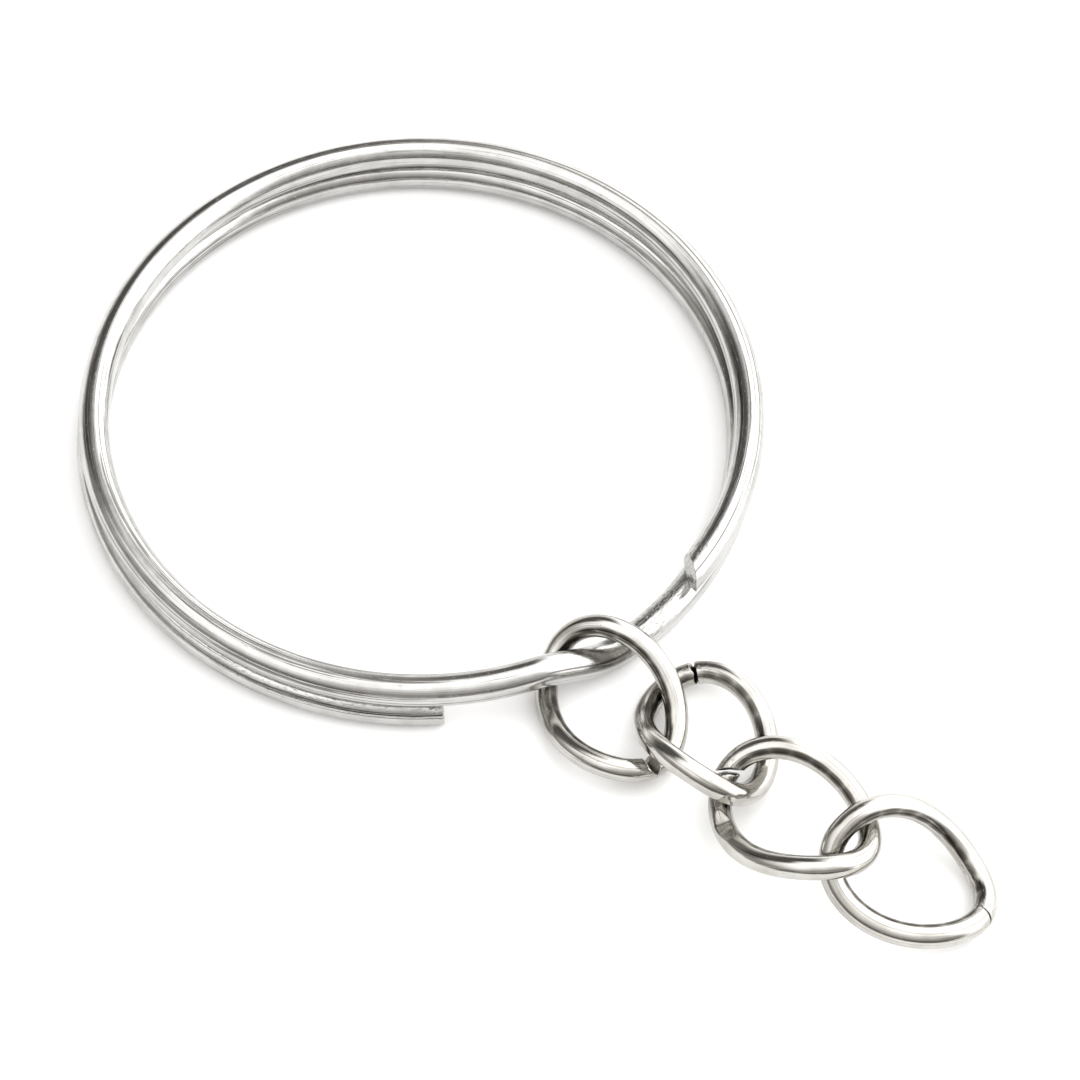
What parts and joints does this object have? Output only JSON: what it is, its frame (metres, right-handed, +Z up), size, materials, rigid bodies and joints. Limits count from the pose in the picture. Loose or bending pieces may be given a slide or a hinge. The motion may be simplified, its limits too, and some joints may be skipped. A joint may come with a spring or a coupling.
{
  "type": "split key ring",
  "caption": "Round key ring of doubled wire that keys slide onto between its coils, with a short chain of twisted wire links for a tag or charm.",
  "frame": {"origin": "middle of the ring, on the plane the ring lies on", "axes": "+Z up through the ring along its own axis, from the lower coil to the upper one; +X from the ring's middle along the chain"},
  "size_m": [0.0485, 0.0302, 0.0039],
  "materials": {
    "ring_plating": "bright nickel plating on drawn steel wire",
    "link_plating": "bright nickel plating on bent steel wire"
  },
  "bodies": {
    "split_ring": {"split_ring": "ring_plating"},
    "link_1": {"link_1": "link_plating"},
    "link_2": {"link_2": "link_plating"},
    "link_3": {"link_3": "link_plating"},
    "link_4": {"link_4": "link_plating"}
  },
  "joints": [
    {"name": "link_1_swing", "type": "hinge", "parent": "split_ring", "child": "link_1", "pos_m": [0.01381, -0.0038, 0.00161], "axis": [-0.238, -0.8723, 0.4272], "range_deg": [-130, 60]},
    {"name": "link_2_swing", "type": "hinge", "parent": "link_1", "child": "link_2", "pos_m": [0.01732, -0.00126, 0.00144], "axis": [-0.8566, 0.3271, 0.399], "range_deg": [-10, 120]},
    {"name": "link_3_swing", "type": "hinge", "parent": "link_2", "child": "link_3", "pos_m": [0.02293, -0.00286, 0.00211], "axis": [0.2876, 0.7421, -0.6055], "range_deg": [-20, 100]},
    {"name": "link_4_swing", "type": "hinge", "parent": "link_3", "child": "link_4", "pos_m": [0.02735, 0.00005, 0.00234], "axis": [-0.8396, 0.5318, -0.1106], "range_deg": [-120, 0]}
  ]
}
